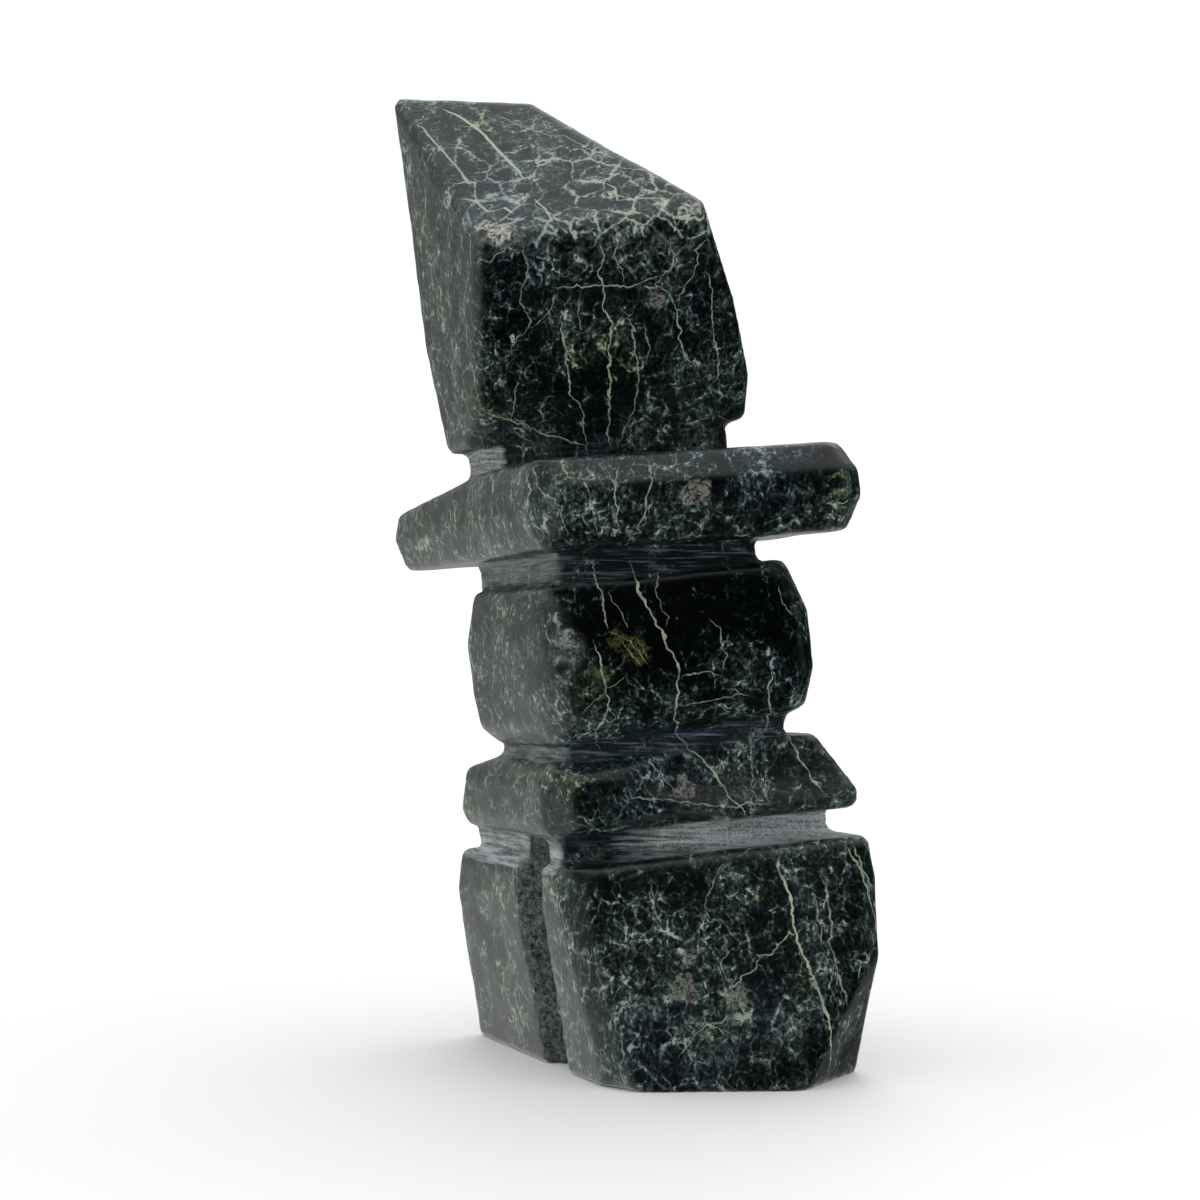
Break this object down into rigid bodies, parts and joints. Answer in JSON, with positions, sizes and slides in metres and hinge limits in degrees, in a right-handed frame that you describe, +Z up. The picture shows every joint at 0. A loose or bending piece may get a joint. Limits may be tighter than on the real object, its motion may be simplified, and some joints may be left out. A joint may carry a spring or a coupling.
{
  "type": "inukshuk sculpture",
  "caption": "Carved stone inukshuk figure of piled stones with sawn grooves, spread arms and a slanted head.",
  "frame": {"origin": "centre of the bounding box at the level of the feet", "axes": "+Z up; X along the spread arms, +X towards the near leg; -Y is the figure's front, towards which it leans"},
  "size_m": [0.0976, 0.0708, 0.1804],
  "materials": {
    "serpentine": "polished dark green serpentine with pale veins, matt and saw-marked in the grooves"
  },
  "bodies": {
    "root": {"inukshuk": "serpentine"}
  },
  "joints": []
}
